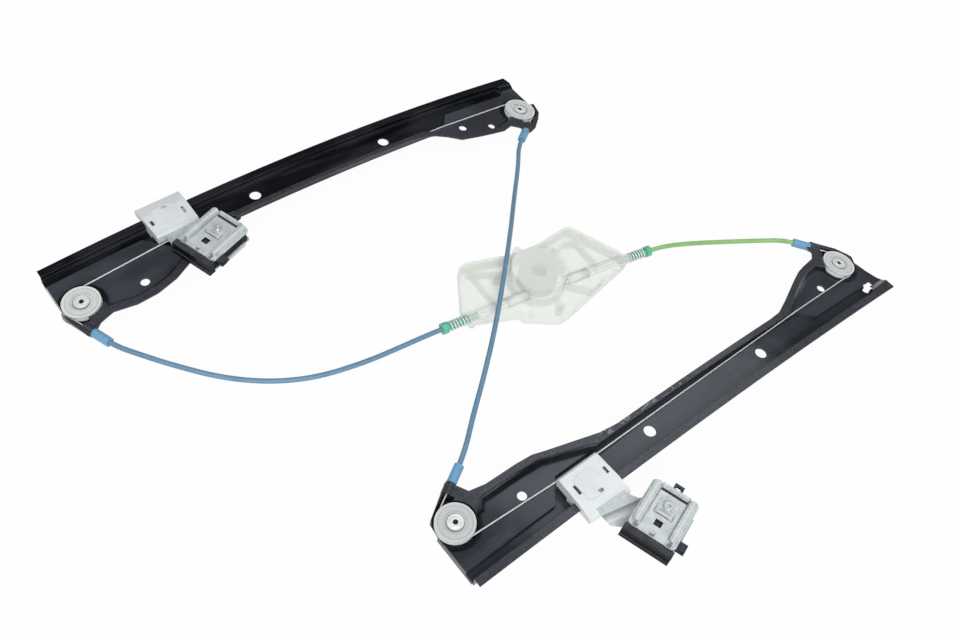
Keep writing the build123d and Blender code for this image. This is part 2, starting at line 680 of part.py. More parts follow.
def conduit_part(name, points):
    """A round tube along straight runs joined by tangent arcs."""
    radii = []
    for before, here, after in zip(points, points[1:], points[2:]):
        half_turn = (here - before).get_angle(after - here) / 2
        shorter = min((here - before).length, (after - here).length)
        radii.append(0.45 * shorter / tan(radians(half_turn)))
    with BuildPart() as tube:
        with BuildLine():
            route = FilletPolyline(*points, radius=radii)
        with BuildSketch(Plane(origin=route @ 0, z_dir=route % 0)):
            corner_r = conduit_r * (2 * pi / conduit_sides / sin(2 * pi / conduit_sides)) ** 0.5
            RegularPolygon(corner_r, conduit_sides)
        sweep()
    tube.part.label = name
    share = tube.part.volume / (pi * conduit_r**2 * route.length)
    print(name, "length", round(route.length, 1), "radii", [round(radius, 1) for radius in radii])
    print("volume over section times length", round(share, 4))
    export_step(tube.part, f"parts/{name}.step")


def line_point(line_side, reach):
    """World point on a conduit line of the housing, at a distance past the start of its cap."""
    return cable_line(line_side, exit_reach[line_side] + spring_length + reach).origin


def route_point(x, y, z):
    """World point from the middle of the left rail's pulley line and the height above the floor."""
    return Vector(left_rail_x + x, left_rail_y + y, z)


conduit_part("lower_conduit", [
    conduit_point("left", "lower", 45), conduit_point("left", "lower", 58), route_point(-253, -78.5, 10.5),
    route_point(-235, -99.5, 8.6), route_point(-204, -134, 5.2), route_point(-169, -161, 3.2),
    route_point(-131, -181, 3.1), route_point(-85, -193.8, 6.2), route_point(-45, -200.6, 11.4),
    line_point("left", 20), line_point("left", -2),
])
conduit_part("upper_conduit", [
    line_point("right", -2), line_point("right", 16), route_point(283, -253.6, 11.6),
    route_point(318, -268.5, 7.6), route_point(350, -285, 7.3), route_point(376, -302.5, 11.2),
    conduit_point("right", "upper", 60), conduit_point("right", "upper", 45),
])
conduit_part("crossing_conduit", [
    conduit_point("right", "lower", 45), conduit_point("right", "lower", 66), route_point(-45, -305, 18.2),
    route_point(-8, -276.5, 23.5), route_point(34.5, -240.5, 26.8), route_point(81.5, -196.5, 27),
    route_point(128.5, -153, 23), route_point(172, -110, 18.5), route_point(206.5, -73.5, 16.5),
    conduit_point("left", "upper", 64), conduit_point("left", "upper", 45),
])
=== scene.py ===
"""A cable-driven twin-rail window regulator, laid flat with its glass clamps up."""

from __future__ import annotations

import json
import logging
import math
from dataclasses import dataclass, field
from enum import Enum
from functools import reduce
from typing import Any, NamedTuple

import bpy
from mathutils import Matrix, Vector

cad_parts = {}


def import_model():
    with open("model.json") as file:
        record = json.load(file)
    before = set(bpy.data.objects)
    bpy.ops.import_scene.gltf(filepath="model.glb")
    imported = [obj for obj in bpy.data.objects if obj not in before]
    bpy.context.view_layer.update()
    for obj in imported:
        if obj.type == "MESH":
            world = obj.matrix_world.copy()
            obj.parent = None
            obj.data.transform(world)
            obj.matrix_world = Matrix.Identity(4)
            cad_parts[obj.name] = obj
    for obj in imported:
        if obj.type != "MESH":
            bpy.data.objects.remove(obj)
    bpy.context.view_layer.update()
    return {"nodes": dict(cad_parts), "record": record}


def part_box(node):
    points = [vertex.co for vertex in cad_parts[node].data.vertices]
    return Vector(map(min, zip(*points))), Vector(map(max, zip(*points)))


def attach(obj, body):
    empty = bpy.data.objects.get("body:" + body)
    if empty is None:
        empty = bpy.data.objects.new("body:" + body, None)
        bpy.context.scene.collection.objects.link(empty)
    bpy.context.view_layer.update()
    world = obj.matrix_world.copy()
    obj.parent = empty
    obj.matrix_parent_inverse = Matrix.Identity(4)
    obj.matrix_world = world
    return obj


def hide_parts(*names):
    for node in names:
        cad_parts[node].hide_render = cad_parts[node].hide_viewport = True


LOG = logging.getLogger("window_regulator")

Colour = tuple[float, float, float]
Point = tuple[float, float, float]


class Maths(Enum):
    """Math node operations that expressions use."""

    ADD = "ADD"
    SUBTRACT = "SUBTRACT"
    MULTIPLY = "MULTIPLY"
    POWER = "POWER"
    SINE = "SINE"
    ABSOLUTE = "ABSOLUTE"
    MAXIMUM = "MAXIMUM"


class Wire:
    """A shader socket that can stand in an expression."""

    def __init__(self, graph: Graph, socket: bpy.types.NodeSocket) -> None:
        """Wrap a socket.

        Args:
            graph: The material's node graph.
            socket: An output socket of one of its nodes.
        """
        self.graph = graph
        self.socket = socket

    def _maths(self, how: Maths, first: Wire | float, second: Wire | float = 0.0) -> Wire:
        """Add one Math node.

        Args:
            how: The operation.
            first: Its first value.
            second: Its second value.

        Returns:
            The node's result.
        """
        return self.graph.node("ShaderNodeMath", {"operation": how.value}, {0: first, 1: second})

    def __add__(self, other: Wire | float) -> Wire:
        """Sum."""
        return self._maths(Maths.ADD, self, other)

    __radd__ = __add__

    def __sub__(self, other: Wire | float) -> Wire:
        """Difference."""
        return self._maths(Maths.SUBTRACT, self, other)

    def __rsub__(self, other: float) -> Wire:
        """Difference, reflected."""
        return self._maths(Maths.SUBTRACT, other, self)

    def __mul__(self, other: Wire | float) -> Wire:
        """Product."""
        return self._maths(Maths.MULTIPLY, self, other)

    __rmul__ = __mul__

    def __pow__(self, other: Wire | float) -> Wire:
        """Power."""
        return self._maths(Maths.POWER, self, other)

    def wave(self) -> Wire:
        """Sine of the value."""
        return self._maths(Maths.SINE, self)

    def size(self) -> Wire:
        """The value without its sign."""
        return self._maths(Maths.ABSOLUTE, self)

    def at_least(self, other: Wire | float) -> Wire:
        """The larger of two values."""
        return self._maths(Maths.MAXIMUM, self, other)

    def between(self, low: float, high: float) -> Wire:
        """Map the value from low..high to 0..1, clamped and smooth.

        Args:
            low: Value that gives 0.
            high: Value that gives 1.

        Returns:
            The mapped value.
        """
        settings = {"interpolation_type": "SMOOTHSTEP"}
        inputs = {"Value": self, "From Min": low, "From Max": high}
        return self.graph.node("ShaderNodeMapRange", settings, inputs)


class Graph:
    """The node graph of one material."""

    def __init__(self, name: str) -> None:
        """Start a material.

        Args:
            name: The material's name.
        """
        self.material = bpy.data.materials.new(name)
        self.material.use_nodes = True
        self.tree = self.material.node_tree
        self.tree.nodes.clear()
        self.output = self.tree.nodes.new("ShaderNodeOutputMaterial")

    def _feed(self, socket: bpy.types.NodeSocket, value: Any) -> None:
        """Set or link one input.

        Args:
            socket: The input socket.
            value: A wire, a number, or a colour or vector.
        """
        if isinstance(value, Wire):
            self.tree.links.new(value.socket, socket)
        elif isinstance(value, tuple) and len(value) == 3 and len(socket.default_value) == 4:
            socket.default_value = (*value, 1.0)
        else:
            socket.default_value = value

    def node(self, kind: str, settings: dict[str, Any] | None = None, inputs: dict[Any, Any] | None = None,
             output: int | str = 0) -> Wire:
        """Add a node.

        Args:
            kind: The node's type.
            settings: Its own properties, set first.
            inputs: Values or wires for its sockets.
            output: Which output to return.

        Returns:
            That output as a wire.
        """
        made = self.tree.nodes.new(kind)
        for key, value in (settings or {}).items():
            setattr(made, key, value)
        for key, value in (inputs or {}).items():
            self._feed(made.inputs[key], value)
        return Wire(self, made.outputs[output])

    def place(self, scale: Point = (1.0, 1.0, 1.0)) -> Wire:
        """Object coordinates in metres, stretched.

        Args:
            scale: Factor along each axis.

        Returns:
            The coordinates.
        """
        at = self.node("ShaderNodeTexCoord", output="Object")
        return self.node("ShaderNodeMapping", {"vector_type": "TEXTURE"}, {"Vector": at, "Scale": scale})

    def noise(self, scale: float, detail: float = 2.0, at: Wire | None = None, rough: float = 0.5) -> Wire:
        """Fractal noise.

        Args:
            scale: Features per metre.
            detail: Octaves.
            at: Coordinates, the object's own if left out.
            rough: Strength of the finer octaves.

        Returns:
            The noise value.
        """
        inputs = {"Vector": at or self.place(), "Scale": scale, "Detail": detail, "Roughness": rough}
        return self.node("ShaderNodeTexNoise", {}, inputs)

    def axes(self, at: Wire) -> tuple[Wire, Wire, Wire]:
        """Split coordinates.

        Args:
            at: The coordinates.

        Returns:
            Their three parts.
        """
        first = self.node("ShaderNodeSeparateXYZ", {}, {0: at})
        along, across, up = (Wire(self, socket) for socket in first.socket.node.outputs)
        return along, across, up

    def reach(self, centre: Point) -> Wire:
        """Distance from an upright axis in millimetres.

        Args:
            centre: A point on the axis, in metres.

        Returns:
            The distance.
        """
        along, across, _ = self.axes(self.place())
        side = along - centre[0]
        ahead = across - centre[1]
        return (side * side + ahead * ahead) ** 0.5 * 1000.0

    def mix(self, factor: Wire | float, first: Any, second: Any) -> Wire:
        """Blend two colours.

        Args:
            factor: 0 for the first, 1 for the second.
            first: A colour or wire.
            second: A colour or wire.

        Returns:
            The blend.
        """
        return self.node("ShaderNodeMix", {"data_type": "RGBA"}, {0: factor, 6: first, 7: second}, 2)

    def bump(self, height: Wire, depth: float, strength: float, over: Wire | None = None) -> Wire:
        """Bump normal.

        Args:
            height: The height field, 0 to 1.
            depth: Metres that a height of 1 stands for.
            strength: How much of it shows.
            over: The normal it is added to, the surface's own if left out.

        Returns:
            The normal.
        """
        inputs = {"Height": height, "Distance": depth, "Strength": strength}
        if over:
            inputs["Normal"] = over
        return self.node("ShaderNodeBump", {}, inputs, "Normal")

    def surface(self, inputs: dict[str, Any]) -> bpy.types.Material:
        """Close the graph with one Principled shader.

        Args:
            inputs: Values and wires of its sockets.

        Returns:
            The finished material.
        """
        shader = self.node("ShaderNodeBsdfPrincipled", {}, inputs)
        self.tree.links.new(shader.socket, self.output.inputs["Surface"])
        return self.material


@dataclass(frozen=True)
class Arch:
    """The curved surface through the pulley tops of one rail, round an axis that lies across it."""

    middle_x: float
    radius: float = 2.562
    axis_z: float = -2.532064

    def drop(self, g: Graph) -> Wire:
        """Depth below the arch.

        Args:
            g: The material's graph.

        Returns:
            The depth in metres, negative above the arch.
        """
        along, _, up = g.axes(g.place())
        side = along - self.middle_x
        lift = up - self.axis_z
        return self.radius - (side * side + lift * lift) ** 0.5


class Finish:
    """A finish, which makes one material under any name."""

    def sockets(self, g: Graph) -> dict[str, Any]:
        """Work out the shader's sockets.

        Args:
            g: The material's graph.

        Returns:
            Values and wires by socket name.
        """
        raise NotImplementedError

    def make(self, name: str) -> bpy.types.Material:
        """Build the material.

        Args:
            name: The material's name.

        Returns:
            The finished material.
        """
        graph = Graph(name)
        return graph.surface(self.sockets(graph))


Looks = dict[str, tuple[str, Finish]]


@dataclass(frozen=True)
class BlackPaint(Finish):
    """Glossy black dip paint on pressed steel: wavy, rubbed on top, with grease beside the cable, and
    painted light.

    Levels are depths below the arch in metres, and the reach of the painted shadow round a pulley's seat is
    in millimetres.
    A painted sheen lies on the top faces and ends at one place across the rail, which by default lies beyond
    the rail.
    Painted reflections lie on the floor and plateaus, and painted highlights along the folds.
    """

    arch: Arch
    seats: tuple[Point, Point]
    gloss: float = 0.5
    floor_reflection: float = 0.4
    plateau_reflection: float = 0.6
    top_sheen_ends_y: float = 9.0
    grease_at: tuple[float, float] | None = None
    grease_reach: tuple[float, float] = (0.068, 0.005)
    floor_level: float = 0.0080
    plateau_levels: tuple[float, float] = (0.0045, 0.0068)
    fold_levels: tuple[float, float] = (0.0012, 0.0079)
    # Radius in millimetres of the painted shadow round each pulley.
    seat_reach: float = 22.5
    edge_r: float = 0.0014
    colour: Colour = (0.0030, 0.0034, 0.0046)
    worn: Colour = (0.022, 0.024, 0.031)
    top_sheen: Colour = (0.064, 0.067, 0.078)
    reflection_grey: Colour = (0.062, 0.066, 0.082)
    bend_highlight: Colour = (0.17, 0.178, 0.19)
    grease: Colour = (0.24, 0.24, 0.27)

    def _plateau_reflection(self, g: Graph, drop: Wire) -> Wire:
        """Mask of the painted reflection on the flared ends' plateaus, left out under and round the pulleys,
        which leaves painted shadow round them.

        Args:
            g: The material's graph.
            drop: Depth below the arch.

        Returns:
            The mask.
        """
        high, deep = self.plateau_levels
        mask = drop.between(high, high + 0.0007) * drop.between(deep, deep - 0.0007) * self.plateau_reflection
        for seat in self.seats:
            # Painted shadow: no reflection within the seat's reach of each pulley.
            mask = mask * g.reach(seat).between(self.seat_reach, self.seat_reach + 3.0)
        return mask

    def _fold_highlights(self, drop: Wire) -> Wire:
        """Mask of the painted highlights along the lines where the sheet is folded.

        Args:
            drop: Depth below the arch.

        Returns:
            The mask.
        """
        upper, lower = ((drop - level).size().between(0.0006, 0.0002) for level in self.fold_levels)
        return upper + lower

    def _greased(self, g: Graph, at: tuple[float, float]) -> Wire:
        """Mask of the stretch beside the cable that has grease.

        Args:
            g: The material's graph.
            at: Middle of the stretch, along and across the rail.

        Returns:
            The mask.
        """
        along, across, _ = g.axes(g.place())
        length, width = self.grease_reach
        near = (along - at[0]).size().between(length, length * 0.7)
        return near * (across - at[1]).size().between(width, width * 0.4)

    def sockets(self, g: Graph) -> dict[str, Any]:
        """Work out the shader's sockets.

        Args:
            g: The material's graph.

        Returns:
            Values and wires by socket name.
        """
        _, across, _ = g.axes(g.place())
        drop = self.arch.drop(g)
        # Painted sheen: the top faces are made lighter, up to one place across the rail.
        top = drop.between(0.0009, 0.0002)
        top = top * across.between(self.top_sheen_ends_y + 0.0005, self.top_sheen_ends_y - 0.0005)
        # Painted reflection: the channel floor is made grey.
        floor = drop.between(self.floor_level, self.floor_level + 0.001) * self.floor_reflection
        waves = g.noise(16.0, 2.0)
        peel = g.noise(700.0, 2.0)
        drawn = g.noise(46.0, 6.0, g.place((7.0, 1.0, 1.0)), 0.62)
        cloud = g.noise(21.0, 3.0, g.place((2.5, 1.0, 1.0)))
        streak = g.noise(75.0, 5.0, g.place((9.0, 1.0, 1.0)), 0.6).between(0.36, 0.64)
        speck = g.noise(420.0, 4.0).between(0.4, 0.7)
        rub = drawn.between(0.53, 0.68)
        colour = g.mix(rub * 0.75, self.colour, self.worn)
        colour = g.mix(cloud.between(0.46, 0.6) * 0.7, colour, self.worn)
        colour = g.mix(floor * (0.55 + streak * 0.5), colour, self.reflection_grey)
        # Painted reflection on the plateaus, with painted shadow round the pulleys.
        colour = g.mix(self._plateau_reflection(g, drop) * (0.6 + cloud.between(0.4, 0.62) * 0.5), colour, self.reflection_grey)
        # Painted sheen on the top faces.
        colour = g.mix(top * (0.45 + speck * 0.4), colour, self.top_sheen)
        # Painted highlights along the folds.
        colour = g.mix(self._fold_highlights(drop) * cloud.between(0.36, 0.56) * 0.55, colour, self.bend_highlight)
        relief = waves * 12.0 + peel * 0.35 + drawn * 0.8
        if self.grease_at:
            greased = self._greased(g, self.grease_at)
            lumps = g.noise(230.0, 5.0, g.place((1.6, 1.0, 1.0)), 0.6)
            smear = greased * lumps.between(0.49, 0.56)
            colour = g.mix(greased * 0.75, colour, self.worn)
            colour = g.mix(smear * 0.9, colour, self.grease)
            relief = relief + smear * lumps * 22.0
        edge = g.node("ShaderNodeBevel", {"samples": 6}, {"Radius": self.edge_r}, "Normal")
        return {
            "Base Color": colour,
            "Roughness": 0.12 + waves * 0.1 + rub * 0.14 + top * 0.16,
            "Specular Tint": (0.80, 0.89, 1.0),
            "Specular IOR Level": self.gloss,
            "Coat Weight": 0.5 * self.gloss,
            "Coat Roughness": 0.08,
            "Coat Tint": (0.85, 0.92, 1.0),
            "Normal": g.bump(relief, 0.0002, 0.7, edge),
        }


@dataclass(frozen=True)
class Plastic(Finish):
    """Moulded plastic with a fine grain and slow changes of tone."""

    colour: Colour
    shade: Colour
    rough: float = 0.42
    grain: float = 0.00003
    soft: float = 0.0
    soft_radius: float = 0.004

    def sockets(self, g: Graph) -> dict[str, Any]:
        """Work out the shader's sockets.

        Args:
            g: The material's graph.

        Returns:
            Values and wires by socket name.
        """
        tone = g.noise(55.0, 3.0)
        fine = g.noise(2600.0, 2.0)
        inputs: dict[str, Any] = {
            "Base Color": g.mix(tone.between(0.32, 0.68), self.colour, self.shade),
            "Roughness": self.rough + fine * 0.08,
            "Normal": g.bump(fine + tone * 3.0, self.grain, 0.6),
        }
        if self.soft:
            inputs["Subsurface Weight"] = self.soft
            inputs["Subsurface Radius"] = (self.soft_radius,) * 3
        return inputs


class Slot(NamedTuple):
    """One rectangular slot through the top of a slider, in metres."""

    x: float
    y: float
    wide: float
    high: float


@dataclass(frozen=True, kw_only=True)
class SliderPlastic(Plastic):
    """Pale moulded slider, with painted shadow in its slots."""

    arch: Arch
    slots: tuple[Slot, ...]
    colour: Colour = (0.70, 0.745, 0.76)
    shade: Colour = (0.76, 0.79, 0.80)
    rough: float = 0.38
    soft: float = 0.12
    shadow: Colour = (0.085, 0.09, 0.10)
    top_height: float = 0.0054

    @staticmethod
    def _inside(slot: Slot, along: Wire, across: Wire) -> Wire:
        """Mask of one slot.

        Args:
            slot: The slot.
            along: Place along the rail.
            across: Place across it.

        Returns:
            The mask.
        """
        wide = (along - slot.x).size().between(slot.wide / 2 + 0.0004, slot.wide / 2 + 0.0001)
        return wide * (across - slot.y).size().between(slot.high / 2 + 0.0004, slot.high / 2 + 0.0001)

    def sockets(self, g: Graph) -> dict[str, Any]:
        """Work out the shader's sockets.

        Args:
            g: The material's graph.

        Returns:
            Values and wires by socket name.
        """
        inputs = super().sockets(g)
        along, across, _ = g.axes(g.place())
        inner = self.arch.drop(g).between(-self.top_height, 0.0008 - self.top_height)
        slot_shadows = reduce(Wire.at_least, (self._inside(slot, along, across) for slot in self.slots))
        # Painted shadow in the slots on the slider's top.
        inputs["Base Color"] = g.mix(slot_shadows * inner, inputs["Base Color"], self.shadow)
        return inputs


@dataclass(frozen=True)
class PulleyPlastic(Finish):
    """Off-white moulded wheel with turned rings round its centre, at radii in millimetres, and painted shade
    along the rings.
    """

    centre: Point
    rim: Colour = (0.74, 0.765, 0.76)
    band: Colour = (0.62, 0.65, 0.65)
    groove_shade: Colour = (0.42, 0.445, 0.455)
    inner_r: float = 10.1
    outer_r: float = 15.2

    def sockets(self, g: Graph) -> dict[str, Any]:
        """Work out the shader's sockets.

        Args:
            g: The material's graph.

        Returns:
            Values and wires by socket name.
        """
        reach = g.reach(self.centre)
        inside = reach.between(self.outer_r + 0.1, self.outer_r - 0.2)
        inside = inside * reach.between(self.inner_r - 0.1, self.inner_r + 0.2)
        inner, outer = ((reach - place).size().between(0.42, 0.1) for place in (self.inner_r, self.outer_r))
        edges = outer + inner
        tone = g.noise(120.0, 4.0)
        fine = g.noise(2600.0, 2.0)
        face = g.mix(inside * 0.7 + tone.between(0.45, 0.7) * 0.25, self.rim, self.band)
        return {
            # Painted shade along the turned rings.
            "Base Color": g.mix(edges * 0.7, face, self.groove_shade),
            "Roughness": 0.36 + fine * 0.1,
            "Normal": g.bump(fine * 0.1 - inside - edges * 0.6, 0.0004, 0.7),
        }


@dataclass(frozen=True)
class Rivet(Finish):
    """Bright plated rivet with painted shade for the hole in its middle and a painted shadow round its head.
    """

    centre: Point
    colour: Colour = (0.80, 0.82, 0.83)
    shade: Colour = (0.90, 0.91, 0.92)
    shaded_hole: Colour = (0.006, 0.006, 0.007)
    edge: Colour = (0.15, 0.16, 0.17)
    hole_r: float = 2.5
    head_r: float = 7.7

    def sockets(self, g: Graph) -> dict[str, Any]:
        """Work out the shader's sockets.

        Args:
            g: The material's graph.

        Returns:
            Values and wires by socket name.
        """
        reach = g.reach(self.centre)
        # Painted shade: a dark dot on the tip of the head's cone stands for the hole.
        shaded_hole = reach.between(self.hole_r, self.hole_r - 0.4)
        turned = (reach * 9.0).wave() * 0.5 + 0.5
        cloud = g.noise(160.0, 3.0)
        plate = g.mix(cloud.between(0.3, 0.7), self.colour, self.shade)
        # Painted shadow round the head.
        plate = g.mix(reach.between(self.head_r - 0.5, self.head_r) * 0.85, plate, self.edge)
        return {
            "Base Color": g.mix(shaded_hole, plate, self.shaded_hole),
            "Metallic": 0.25 - shaded_hole * 0.25,
            "Roughness": 0.24 + cloud * 0.12 + shaded_hole * 0.4,
            "Normal": g.bump(turned * 0.3 - shaded_hole * 3.0, 0.00012, 0.6),
        }


@dataclass(frozen=True)
class MilkyPlastic(Finish):
    """Unpigmented moulded plastic: the ribs show through, and the thick dome over the drum is denser.

    The dome's reach is in millimetres from the drum's axis.
    """

    centre: Point
    colour: Colour = (0.84, 0.885, 0.82)
    dome: Colour = (0.90, 0.93, 0.89)
    dome_reach: float = 31.6
    alpha: float = 0.38
    rough: float = 0.24

    def sockets(self, g: Graph) -> dict[str, Any]:
        """Work out the shader's sockets.

        Args:
            g: The material's graph.

        Returns:
            Values and wires by socket name.
        """
        inside = g.reach(self.centre).between(self.dome_reach, self.dome_reach - 0.8)
        tone = g.noise(26.0, 3.0)
        swirl = g.noise(9.0, 4.0, g.place((1.0, 0.35, 1.0))).between(0.4, 0.7)
        fine = g.noise(2200.0, 2.0)
        return {
            "Base Color": g.mix(inside * 0.8 + swirl * 0.15, self.colour, self.dome),
            "Alpha": self.alpha + tone * 0.08 + inside * 0.08 + swirl * 0.06,
            "Roughness": self.rough + fine * 0.08,
            "Normal": g.bump(fine * 0.4 + tone * 6.0, 0.00008, 0.6),
        }


class Crease(NamedTuple):
    """A fold across a plate, from one place to another, in metres."""

    x0: float
    y0: float
    x1: float
    y1: float


@dataclass(frozen=True)
class Zinc(Finish):
    """Galvanised steel: soft cloudy patches, a cool tone and faint scratches, with painted shadow and a
    painted highlight along an optional crease.
    """

    colour: Colour
    shade: Colour
    rough: float = 0.42
    metal: float = 0.35
    crease: Crease | None = None
    crease_shadow: Colour = (0.17, 0.185, 0.21)
    crease_highlight: Colour = (0.82, 0.84, 0.86)

    def sockets(self, g: Graph) -> dict[str, Any]:
        """Work out the shader's sockets.

        Args:
            g: The material's graph.

        Returns:
            Values and wires by socket name.
        """
        cells = {"Vector": g.place(), "Scale": 420.0}
        spangle = g.node("ShaderNodeTexVoronoi", {"feature": "F1"}, cells, "Color")
        flake = g.node("ShaderNodeSeparateColor", {}, {0: spangle})
        cloud = g.noise(120.0, 4.0)
        fine = g.noise(1800.0, 3.0, g.place((1.0, 6.0, 1.0)))
        blend = (flake * 0.3 + cloud * 0.7).between(0.28, 0.72)
        colour = g.mix(blend, self.colour, self.shade)
        relief = fine + cloud
        if self.crease:
            past = self._past_crease(g, self.crease)
            # Painted shadow just past the crease, then a painted highlight on the lower flange.
            shadow = past.between(-0.5, 0.0) * past.between(5.5, 0.0)
            highlight = past.between(5.0, 7.0) * past.between(9.5, 7.5)
            colour = g.mix(shadow * 0.75, colour, self.crease_shadow)
            colour = g.mix(highlight * 0.6, colour, self.crease_highlight)
            relief = relief + past.between(-0.5, 4.0) * 6.0
        return {
            "Base Color": colour,
            "Metallic": self.metal,
            "Roughness": self.rough + cloud * 0.18,
            "Normal": g.bump(relief, 0.00006, 0.5),
        }

    @staticmethod
    def _past_crease(g: Graph, crease: Crease) -> Wire:
        """Distance past the crease.

        Args:
            g: The material's graph.
            crease: The crease.

        Returns:
            The distance in millimetres, negative before it.
        """
        x, y, _ = g.axes(g.place())
        run_x = crease.x1 - crease.x0
        run_y = crease.y1 - crease.y0
        length = math.hypot(run_x, run_y)
        return ((x - crease.x0) * (run_y / length) - (y - crease.y0) * (run_x / length)) * 1000.0


@dataclass(frozen=True)
class JawPlate(Finish):
    """Galvanised jaw of a glass clamp: painted shadow lines round its pressed ribs, painted highlights on
    their crests, and painted shade in its hollows.

    Its marks lie at millimetres along the jaw, from its middle towards the bolt, and across it.
    """

    middle: Point
    bolt: Point
    colour: Colour = (0.56, 0.605, 0.615)
    shade: Colour = (0.68, 0.72, 0.725)
    crest_highlight: Colour = (0.78, 0.81, 0.815)
    shadow: Colour = (0.085, 0.095, 0.105)
    hollow_shade: Colour = (0.012, 0.013, 0.015)
    centring: float = 0.9
    seat_at: float = 6.0
    seat_reach: float = 8.6
    step_at: float = 1.3
    groove_at: float = 12.9
    hole_at: float = -10.0
    end_slot_at: float = 21.0
    corner_at: float = -21.5
    rib_at: float = 17.2

    def _lines(self, along: Wire, wide: Wire) -> Wire:
        """Mask of the shadow lines: three sides of the bolt's seat, a step beside it, two long grooves.

        Args:
            along: Place along the jaw.
            wide: Distance from its long axis.

        Returns:
            The mask.
        """
        square = (along - self.seat_at).size().at_least(wide) - self.seat_reach
        seat = square.size().between(0.7, 0.2) * along.between(7.0, 1.0)
        step = (along - self.step_at).size().between(0.55, 0.25) * wide.between(6.2, 5.6)
        return seat + step + (wide - self.groove_at).size().between(0.9, 0.2) * 0.5

    def _holes(self, along: Wire, wide: Wire) -> Wire:
        """Mask of the painted shade in the square hole and in the slot at the jaw's end.

        Args:
            along: Place along the jaw.
            wide: Distance from its long axis.

        Returns:
            The mask.
        """
        shaded_hole = (along - self.hole_at).size().between(3.4, 2.9) * wide.between(3.7, 3.3)
        return shaded_hole + (along - self.end_slot_at).size().between(1.5, 1.2) * wide.between(13.0, 12.6) * 0.85

    def sockets(self, g: Graph) -> dict[str, Any]:
        """Work out the shader's sockets.

        Args:
            g: The material's graph.

        Returns:
            Values and wires by socket name.
        """
        turn = math.atan2(self.bolt[1] - self.middle[1], self.bolt[0] - self.middle[0])
        x, y, _ = g.axes(g.place())
        x = (x - self.middle[0]) * 1000.0
        y = (y - self.middle[1]) * 1000.0
        along = x * math.cos(turn) + y * math.sin(turn) + self.centring
        wide = (y * math.cos(turn) - x * math.sin(turn)).size()
        # Painted shade in the dimples at the ribs' ends.
        corners = (wide - 16.2).size().between(2.8, 0.6) + wide.between(3.0, 0.8)
        corners = (along - self.corner_at).size().between(2.6, 0.6) * corners
        cloud = g.noise(120.0, 4.0)
        fine = g.noise(1800.0, 3.0)
        plate = g.mix(cloud.between(0.3, 0.7), self.colour, self.shade)
        # Painted highlight along the ribs' crests.
        ridge = (wide - self.rib_at).size().between(2.6, 0.6) * 0.5
        colour = g.mix(ridge, plate, self.crest_highlight)
        colour = g.mix(self._lines(along, wide) * 0.62 + corners * 0.62, colour, self.shadow)
        return {
            # Painted shade in the hole and the end slot.
            "Base Color": g.mix(self._holes(along, wide), colour, self.hollow_shade),
            "Metallic": 0.3,
            "Roughness": 0.42 + cloud * 0.16,
            "Normal": g.bump(fine * 0.2 + cloud * 0.3 + ridge * 6.0 - corners * 8.0, 0.0003, 0.6),
        }


@dataclass(frozen=True)
class Rope(Finish):
    """Stranded steel cable: bright strands that wind round it, with painted shade in the valleys between
    them, in waves per metre along each axis.
    """

    colour: Colour = (0.86, 0.88, 0.88)
    valley_shade: Colour = (0.42, 0.43, 0.44)
    waves: Point = (4200.0, 3100.0, 5200.0)

    def sockets(self, g: Graph) -> dict[str, Any]:
        """Work out the shader's sockets.

        Args:
            g: The material's graph.

        Returns:
            Values and wires by socket name.
        """
        along, across, up = g.axes(g.place())
        phase = along * self.waves[0] + across * self.waves[1] + up * self.waves[2]
        twist = (phase.wave() * 0.5 + 0.5).between(0.05, 0.5)
        return {
            # Painted shade in the valleys between the strands.
            "Base Color": g.mix(twist, self.valley_shade, self.colour),
            "Metallic": 0.2,
            "Roughness": 0.36,
            "Normal": g.bump(twist, 0.00008, 0.5),
        }


@dataclass(frozen=True)
class Rubber(Finish):
    """Matt black rubber, with a painted sheen where it faces up."""

    colour: Colour = (0.0045, 0.0048, 0.006)
    upward_sheen: Colour = (0.060, 0.066, 0.084)

    def sockets(self, g: Graph) -> dict[str, Any]:
        """Work out the shader's sockets.

        Args:
            g: The material's graph.

        Returns:
            Values and wires by socket name.
        """
        facing = g.node("ShaderNodeNewGeometry", output="Normal")
        upward = g.axes(facing)[2].between(0.5, 0.85)
        # Painted sheen: the upward faces are made a lighter bluish grey.
        upward_sheen = (g.noise(170.0, 5.0).between(0.35, 0.7) * 0.4 + 0.6) * upward
        fine = g.noise(3000.0, 3.0)
        return {
            "Base Color": g.mix(upward_sheen, self.colour, self.upward_sheen),
            "Roughness": 0.5 + upward_sheen * 0.1,
            "Specular IOR Level": 0.14,
            "Normal": g.bump(fine, 0.00005, 0.5),
        }


